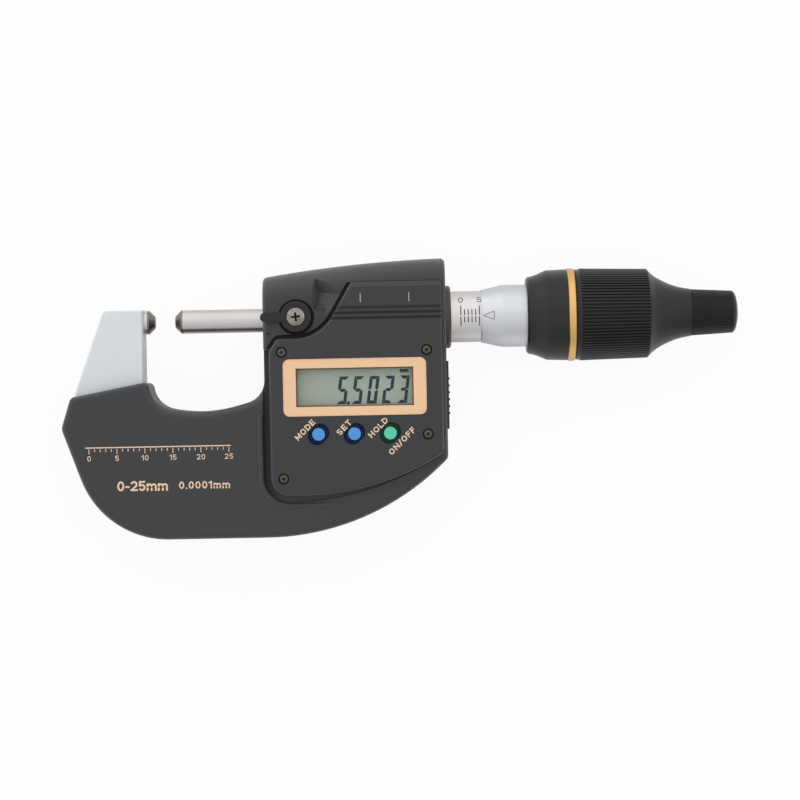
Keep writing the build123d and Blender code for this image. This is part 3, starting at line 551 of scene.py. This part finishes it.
def bow(x, y, wide, tall, start, end, steps=16):
    # points along part of an oval, its angles in degrees
    angles = [radians(start + (end - start) * i / steps) for i in range(steps + 1)]
    return [(x + wide * cos(a), y + tall * sin(a)) for a in angles]


# widths of the signs as shares of their height
signWidths = {"M": 0.98, "O": 0.98, "D": 0.88, "E": 0.78, "S": 0.84, "T": 0.82, "H": 0.88,
              "L": 0.72, "N": 0.9, "F": 0.72, "/": 0.46, "0": 0.7, "1": 0.42, "2": 0.7,
              "5": 0.7, "-": 0.42, ".": 0.2, "m": 1.0}
numberSpace = 0.18  # between the signs of a number, as a share of their height


def signStrokes(sign, bold):
    # middle lines of a plain upright sign, one unit tall
    w = signWidths[sign]
    a = bold / 2
    mid, right, top, half = w / 2, w - a, 1 - a, 0.5
    bowl, bowlTall = w / 2 - a, 0.25  # half width and half height of a bowl
    quarter, flank = (1 - bold) / 4, w * 0.42
    small, spring, arch = 0.74, 0.44, (mid - a) / 2  # a small letter and its arches
    stem, post = [(a, 0), (a, 1)], [(right, 0), (right, 1)]
    uprights = [stem, post]
    head, foot = [(0, top), (w, top)], [(0, a), (w, a)]
    bars = [head, [(a, half), (w - 0.07, half)]]
    ring = bow(mid, half, bowl, half - a, 0, 360)
    forms = {
        "M": uprights + [[(a, top), (mid, 0.22)], [(mid, 0.22), (right, top)]],
        "N": uprights + [[(a, top), (right, a)]],
        "H": uprights + [[(a, half), (right, half)]],
        "E": bars + [stem, foot],
        "F": bars + [stem],
        "T": [head, [(mid, 0), (mid, 1)]],
        "L": [stem, foot],
        "O": [ring],
        "D": [stem,
              [(0, top)] + bow(flank, half, right - flank, half - a, 90, -90) + [(0, a)]],
        "S": [bow(mid, top - quarter, bowl, quarter, 25, 270)
              + bow(mid, a + quarter, bowl, quarter, 90, -155)[1:]],
        "0": [ring],
        "1": [post, [(right, 0.9), (0, 0.72)]],
        "2": [bow(mid, top - bowlTall, bowl, bowlTall, 168, -32) + [(a, a)], foot],
        "5": [[(0.06, top), (w - 0.04, top)], [(a + 0.05, 1), (a + 0.02, 0.46)],
              bow(mid - 0.01, a + bowlTall, bowl, bowlTall, 142, -160)],
        "-": [[(0, 0.42), (w, 0.42)]],
        ".": [foot],
        "/": [[(0, -0.04), (w, 1.04)]],
        "m": [[(a, 0), (a, small)]]
             + [[(left, 0.3)] + bow(left + arch, spring, arch, small - a - spring, 180, 0)
                + [(left + 2 * arch, 0)] for left in (a, mid)],
    }
    return forms[sign]


def lettering(text, tall, long, bold):
    # a line of text from its lower left corner, its signs spread over its length
    free = long / tall - sum(signWidths[sign] for sign in text)
    gap = free / max(len(text) - 1, 1)
    strokes = []
    reach = 0.0
    for sign in text:
        strokes += [[((reach + x) * tall, y * tall) for x, y in stroke]
                    for stroke in signStrokes(sign, bold)]
        reach += signWidths[sign] + gap
    return penned(strokes, bold * tall)


def number(i, tall, bold):
    # a number centred on the origin, standing on its base line
    text = str(i)
    long = tall * (sum(signWidths[sign] for sign in text) + numberSpace * (len(text) - 1))
    return placed(lettering(text, tall, long, bold), -long / 2)


# a text has its left end, its base line, its height and its length
coverPrint = {
    "surface": 9.0 * mm, "proud": 0.006 * mm,
    "ruleLeft": -18.65 * mm, "ruleRight": 20.4 * mm, "ruleY": -33.6 * mm, "ruleWide": 0.34 * mm,
    "ticks": 25, "longEvery": 5, "tickStep": 1.5 * mm, "tickStart": -17.6 * mm,
    "tickWide": 0.22 * mm, "shortTick": 0.75 * mm, "longTick": 1.35 * mm, "tickGap": 0.35 * mm,
    "numberTall": 1.45 * mm, "numberGap": 0.45 * mm, "numberBold": 0.16, "bold": 0.2,
    "texts": (("0-25mm", -10.2 * mm, -45.4 * mm, 2.75 * mm, 13.6 * mm),
              ("0.0001mm", 6.35 * mm, -45.05 * mm, 2.05 * mm, 13.7 * mm)),
}


def printCover(p):
    # the rule line with a plain scale under it, the range and the resolution
    top = p["ruleY"] - p["tickGap"]
    ticks = []
    parts = [penned([[(p["ruleLeft"], p["ruleY"]), (p["ruleRight"], p["ruleY"])]], p["ruleWide"])]
    for i in range(p["ticks"] + 1):
        x = p["tickStart"] + i * p["tickStep"]
        if i % p["longEvery"]:
            ticks.append([(x, top), (x, top - p["shortTick"])])
        else:
            ticks.append([(x, top), (x, top - p["longTick"])])
            base = top - p["longTick"] - p["numberGap"] - p["numberTall"]
            parts.append(placed(number(i, p["numberTall"], p["numberBold"]), x, base))
    parts.append(penned(ticks, p["tickWide"]))
    for text, left, bottom, tall, long in p["texts"]:
        parts.append(placed(lettering(text, tall, long, p["bold"]), left, bottom))
    mesh = placed(joined(parts), z=p["surface"] + p["proud"])
    piece("cover_print", mesh, [inks["peach"]], "housing")


# a label has the x and y of its middle and its length
panelPrint = {
    "proud": 0.006 * mm, "tilt": 45.0, "bold": 0.22, "capTall": 1.6 * mm,
    "labels": (("MODE", 40.53 * mm, -29.81 * mm, 6.7 * mm),
               ("SET", 50.94 * mm, -29.35 * mm, 4.7 * mm),
               ("HOLD", 60.05 * mm, -29.52 * mm, 6.5 * mm),
               ("ON/OFF", 66.32 * mm, -33.24 * mm, 9.3 * mm)),
    "barX": (55.93 * mm, 68.87 * mm), "barBottom": 4.0 * mm, "barTall": 2.4 * mm,
    "barWide": 0.34 * mm,
}


def printPanel(p):
    # the words at the buttons, and the two upright bars above the window
    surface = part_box("display_panel")[1][2] + p["proud"]
    parts = []
    for text, x, y, long in p["labels"]:
        label = placed(lettering(text, p["capTall"], long, p["bold"]), -long / 2,
                       -p["capTall"] / 2)
        parts.append(placed(label, x, y, 0, p["tilt"]))
    piece("panel_print", placed(joined(parts), z=surface), [inks["peach"]], "housing")
    top = p["barBottom"] + p["barTall"]
    bars = penned([[(x, p["barBottom"]), (x, top)] for x in p["barX"]], p["barWide"])
    piece("panel_bars", placed(bars, z=surface), [inks["grey"]], "housing")


windowEdgeShade = {"long": 31.4 * mm, "tall": 10.3 * mm, "wide": 0.42 * mm, "proud": 0.004 * mm}


def edgeWindow(p):
    # a dark olive line painted as the shade round the clear window, just inside its opening
    x, y = middle(*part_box("window_bezel"))
    right, top = (p["long"] - p["wide"]) / 2, (p["tall"] - p["wide"]) / 2
    corners = [(-right, -top), (right, -top), (right, top), (-right, top), (-right, -top)]
    mesh = placed(penned([corners], p["wide"]), x, y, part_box("window_lens")[1][2] + p["proud"])
    piece("window_edge_shade", mesh, [inks["olive"]], "housing")


buttonRecessShade = {
    "hole": 4.34 * mm, "wide": 4.84 * mm, "long": 6.04 * mm, "deep": 1.3 * mm,
    "thick": 0.04 * mm, "turn": 45.0, "sides": 48, "slack": 0.01 * mm,
}


def seatButtons(p, name, buttons, look):
    # a thin dark pad on the floor of each button's oblong recess, tinted with its button: painted
    # shade with a painted reflection of the button
    shadePads = []
    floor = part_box("display_panel")[1][2] - p["deep"]
    for button in buttons:
        x, y = middle(*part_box(button))
        bm = bmesh.new()
        bmesh.ops.create_circle(bm, segments=p["sides"], radius=p["wide"] / 2)
        for vertex in bm.verts:
            # the halves of the circle move apart, and the points between them stay
            side = (vertex.co.x > p["slack"]) - (vertex.co.x < -p["slack"])
            vertex.co.x += side * (p["long"] - p["wide"]) / 2
        bmesh.ops.create_circle(bm, segments=p["sides"], radius=p["hole"] / 2)
        bmesh.ops.bridge_loops(bm, edges=bm.edges[:])
        shadePads.append(placed(raised(bm, p["thick"]), x, y, floor, p["turn"]))
    piece(name, joined(shadePads), [look], "housing")


reading = {
    "text": "5.5023", "left": 48.9 * mm, "bottom": -23.12 * mm, "pitch": 4.06 * mm,
    "wide": 2.65 * mm, "tall": 7.4 * mm, "line": 0.86 * mm, "gap": 0.04 * mm, "lean": 8.0,
    "proud": 0.006 * mm, "thick": 0.02 * mm,
    "dot": 0.9 * mm, "dotAfter": 3.2 * mm, "dotRise": 0.35, "dotSides": 12,
    "unit": ("mm", 66.1 * mm, -14.95 * mm, 1.25 * mm, 2.35 * mm), "unitBold": 0.28,
}
# which of the seven segments each figure lights, clockwise from the top, the middle last
segmentsLit = {"5": "acdfg", "0": "abcdef", "2": "abdeg", "3": "abcdg"}


def showReading(p):
    # the figures and their point in slanted segments, and the unit above them
    w, h, t, g = p["wide"], p["tall"], p["line"], p["gap"]
    half = h / 2
    outlines = {
        "a": ((g, h), (w - g, h), (w - t - g, h - t), (t + g, h - t)),
        "d": ((g, 0), (t + g, t), (w - t - g, t), (w - g, 0)),
        "g": ((t / 2 + g, half), (t + g, half + t / 2), (w - t - g, half + t / 2),
              (w - t / 2 - g, half), (w - t - g, half - t / 2), (t + g, half - t / 2)),
        "f": ((0, h - g), (t, h - t - g), (t, half + t / 2 + g), (t / 2, half + g),
              (0, half + t / 4 + g)),
        "e": ((0, g), (0, half - t / 4 - g), (t / 2, half - g), (t, half - t / 2 - g),
              (t, t + g)),
    }
    outlines["b"] = tuple((w - x, y) for x, y in outlines["f"])
    outlines["c"] = tuple((w - x, y) for x, y in outlines["e"])
    bm = bmesh.new()
    start = p["left"] - p["pitch"]  # the left side of the last figure
    for figure in p["text"]:
        if figure == ".":
            spot = (start + p["dotAfter"], p["dot"] * p["dotRise"], 0)
            bmesh.ops.create_circle(bm, cap_ends=True, segments=p["dotSides"],
                                    radius=p["dot"] / 2, matrix=Matrix.Translation(spot))
        else:
            start += p["pitch"]
            for name in segmentsLit[figure]:
                bm.faces.new([bm.verts.new((start + x, y, 0)) for x, y in outlines[name]])
    figures = raised(bm, p["thick"])
    lean = Matrix.Identity(4)
    lean[0][1] = tan(radians(p["lean"]))
    figures.transform(Matrix.Translation((0, p["bottom"], 0)) @ lean)
    text, left, bottom, tall, long = p["unit"]
    unit = placed(lettering(text, tall, long, p["unitBold"]), left, bottom)
    mesh = placed(joined([figures, unit]), z=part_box("lcd_cell")[1][2] + p["proud"])
    piece("reading", mesh, [inks["segments"]], "housing")


sleeveScale = {
    "radius": 6.9 * mm, "zero": 82.8 * mm, "step": 1.0 * mm, "count": 25, "longEvery": 5,
    "wide": 0.3 * mm, "longHalf": 2.8 * mm, "shortHalf": 1.8 * mm, "gapHalf": 0.2 * mm,
    "proud": 0.006 * mm, "bends": 8,
    "numberTall": 1.9 * mm, "numberBottom": 3.75 * mm, "numberBold": 0.13,
}


def markSleeve(p):
    # a mark each millimetre, with a bare line through them at the height of the index
    marks = []
    parts = []
    for i in range(p["count"] + 1):
        x = p["zero"] + i * p["step"]
        end = p["shortHalf"] if i % p["longEvery"] else p["longHalf"]
        marks.append(line((x, p["gapHalf"]), (x, end), p["bends"]))
        marks.append(line((x, -end), (x, -p["gapHalf"]), p["bends"]))
        if i % p["longEvery"] == 0:
            parts.append(placed(number(i, p["numberTall"], p["numberBold"]), x,
                                p["numberBottom"]))
    parts.append(penned(marks, p["wide"]))
    mesh = wrapped(placed(joined(parts), z=p["proud"]), lambda x: p["radius"])
    piece("sleeve_scale", mesh, [inks["black"]], "housing")


indexMark = {
    "tip": 88.75 * mm, "base": 91.75 * mm, "half": 1.12 * mm, "line": 0.26 * mm,
    "start": 88.5023 * mm, "startRadius": 7.15 * mm, "cone": 5.6 * mm, "radius": 8.4 * mm,
    "proud": 0.012 * mm, "bends": 6,
}


def markIndex(p):
    # the outlined triangle that points at the scale
    slope = (p["radius"] - p["startRadius"]) / p["cone"]
    corners = [(p["tip"], 0), (p["base"], p["half"]), (p["base"], -p["half"]), (p["tip"], 0)]
    sides = [line(start, end, p["bends"]) for start, end in zip(corners, corners[1:])]
    mesh = placed(penned(sides, p["line"]), z=p["proud"])
    wrapped(mesh, lambda x: p["startRadius"] + (x - p["start"]) * slope)
    piece("index_mark", mesh, [inks["pale"]], "carriage")


# the cross's foot is narrower than its mouth, by these shares of its length and its width
clampHead = {
    "dome": 0.9 * mm, "shank": 1.1 * mm, "turns": 64, "rings": 10, "merge": 0.001 * mm,
    "crossLong": 3.0 * mm, "crossWide": 0.7 * mm, "crossDeep": 1.0 * mm,
    "crossFoot": (0.5, 0.45), "crossClear": 0.5 * mm, "turn": 6.0, "sharp": 35.0,
}


def clampHeadForm(p, low, high, seat):
    # a domed pan head on its shank, spun about the screw's own axis
    radius = (high[0] - low[0]) / 2
    rim = high[2] - p["dome"]
    outline = [(0, low[2]), (p["shank"], low[2]), (p["shank"], seat), (radius, seat)]
    outline += bow(0, rim, radius, p["dome"], 0, 90, p["rings"])[:-1]
    outline.append((0, high[2]))
    bm = bmesh.new()
    spots = [bm.verts.new((x, 0, z)) for x, z in outline]
    edges = [bm.edges.new(pair) for pair in zip(spots, spots[1:])]
    bmesh.ops.spin(bm, geom=spots + edges, cent=(0, 0, 0), axis=(0, 0, 1), angle=2 * pi,
                   steps=p["turns"], use_merge=True)
    bmesh.ops.remove_doubles(bm, verts=bm.verts, dist=p["merge"])
    return meshFrom(bm)


def crossForm(p, top):
    # two crossed wedges, narrower at their feet
    bm = bmesh.new()
    for turn in (0, 90):
        made = bmesh.ops.create_cube(bm, size=1)["verts"]
        for vertex in made:
            above = vertex.co.z > 0
            long, wide = (1, 1) if above else p["crossFoot"]
            vertex.co = Vector((vertex.co.x * p["crossLong"] * long,
                                vertex.co.y * p["crossWide"] * wide,
                                top + (p["crossClear"] if above else -p["crossDeep"])))
        bmesh.ops.rotate(bm, verts=made, cent=(0, 0, 0),
                         matrix=Matrix.Rotation(radians(turn + p["turn"]), 3, "Z"))
    return meshFrom(bm)


def seatClampScrew(p):
    # the screw's head with its cross cut in, in the place of the CAD screw
    low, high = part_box("clamp_screw")
    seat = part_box("clamp_lever")[1][2]
    head = added("head", clampHeadForm(p, low, high, seat))
    cross = added("cross", crossForm(p, high[2]))
    head.data.materials.append(finishes["bright_screw"].material)
    # the walls of the cut cross take this near black, painted as their shade
    cross.data.materials.append(crossShade.material)
    cut = head.modifiers.new("cross", "BOOLEAN")
    cut.object = cross
    cut.solver = "EXACT"
    cut.use_self = True
    cut.material_mode = "TRANSFER"
    bpy.context.view_layer.update()
    mesh = bpy.data.meshes.new_from_object(
        head.evaluated_get(bpy.context.evaluated_depsgraph_get()))
    for thing in (head, cross):
        bpy.data.objects.remove(thing)
    mesh.shade_smooth()
    mesh.set_sharp_from_angle(angle=radians(p["sharp"]))
    placed(mesh, *middle(low, high))
    made = piece("clamp_screw_head", mesh, [], "lever")
    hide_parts("clamp_screw")


printCover(coverPrint)
printPanel(panelPrint)
edgeWindow(windowEdgeShade)
seatButtons(buttonRecessShade, "blue_recess_shade", ("button_mode", "button_set"), blueRecessShade)
seatButtons(buttonRecessShade, "green_recess_shade", ("button_hold",), greenRecessShade)
showReading(reading)
markSleeve(sleeveScale)
markIndex(indexMark)
seatClampScrew(clampHead)
print("print, reading, scales, button seats and clamp screw are on")


# a lamp has its place, its size and its power
studio = {
    "floorZ": -13.02 * mm, "floorSize": 4.0, "floorWhite": 0.93, "floorGlossy": 0.25,
    "floorTone": (0.9, 0.9, 0.9, 1), "floorRough": 0.9,
    "lamps": {
        "keySoftbox": ((0.05, 0.62, 0.55), (1.8, 0.9), 1.0),
        "endSoftbox": ((0.95, 0.10, 0.40), (0.9, 0.8), 0.35),
    },
    "aim": (0.066, -0.02, 0.0),
    "skyTop": 1.0, "skyBehind": 0.25, "skyBothWays": 0.26, "skyRim": 0.3, "skyRimFall": 3,
    "skyLeft": 0.4, "skyGlossy": 0.2,
}


def whereSeen(sheet, glossyShare):
    # 1 for what the camera or a clear window sees, and a share of it for reflections
    path = sheet.node("ShaderNodeLightPath", output="Is Camera Ray")
    seen = path.maths("MAXIMUM", path.output("Is Transmission Ray"))
    return seen.maths("MAXIMUM", path.output("Is Glossy Ray") * glossyShare)


def buildFloor(p):
    # a matt floor that is nearly white where it is seen, and keeps the object's shadow
    bm = bmesh.new()
    bmesh.ops.create_grid(bm, x_segments=1, y_segments=1, size=p["floorSize"] / 2)
    floor = added("floor", placed(meshFrom(bm), p["aim"][0], 0, p["floorZ"]))
    look = Finish("floor", Base_Color=p["floorTone"], Roughness=p["floorRough"])
    seen = whereSeen(look, p["floorGlossy"])
    glow = look.node("ShaderNodeEmission", None, {"Color": white, "Strength": 1.0})
    mixed = look.node("ShaderNodeMixShader", None,
                      {0: seen * p["floorWhite"], 1: Wire(look, look.shader.outputs[0]),
                       2: glow})
    look.feed(look.tree.nodes["Material Output"].inputs["Surface"], mixed)
    floor.data.materials.append(look.material)


def buildLamps(p):
    for name, (spot, size, power) in p["lamps"].items():
        lamp = bpy.data.lights.new(name, "AREA")
        lamp.shape = "RECTANGLE"
        lamp.size, lamp.size_y = size
        lamp.energy = power
        holder = added(name, lamp)
        holder.location = spot
        away = Vector(spot) - Vector(p["aim"])
        holder.rotation_euler = away.to_track_quat("Z", "Y").to_euler()


def buildWorld(p):
    # a pale sky, darker in front of the object, paler on its left and round the rim, and
    # white where it is seen
    world = bpy.data.worlds.new("studio")
    bpy.context.scene.world = world
    world.use_nodes = True
    sheet = Sheet(world.node_tree)
    way = sheet.node("ShaderNodeSeparateXYZ", None,
                     {"Vector": sheet.node("ShaderNodeTexCoord", output="Generated")})
    low = 1 - way.output("Z").maths("ABSOLUTE")  # 1 at the rim, 0 overhead
    back = way.output("Y")  # 1 behind the object, -1 in front of it
    sky = p["skyTop"] + back * p["skyBehind"] - back * back * p["skyBothWays"]
    sky = sky + low ** p["skyRimFall"] * p["skyRim"] - way.output("X") * low * p["skyLeft"]
    seen = whereSeen(sheet, p["skyGlossy"])
    background = sheet.tree.nodes["Background"]
    sheet.feed(background.inputs["Color"], white)
    sheet.feed(background.inputs["Strength"], sky + seen * (1 - sky))


cameraPlace = {"x": 66 * mm, "y": -22.3 * mm, "z": 650 * mm, "turn": -1.1, "lens": 107.64,
               "sensor": 36}


def buildCamera(p):
    data = bpy.data.cameras.new("camera")
    data.lens = p["lens"]
    data.sensor_width = p["sensor"]
    camera = added("camera", data)
    camera.location = (p["x"], p["y"], p["z"])
    camera.rotation_euler = (0, 0, radians(p["turn"]))
    bpy.context.scene.camera = camera


buildFloor(studio)
buildLamps(studio)
buildWorld(studio)
buildCamera(cameraPlace)
bpy.context.scene.view_settings.view_transform = "Standard"
print("floor, lamps and camera are set")
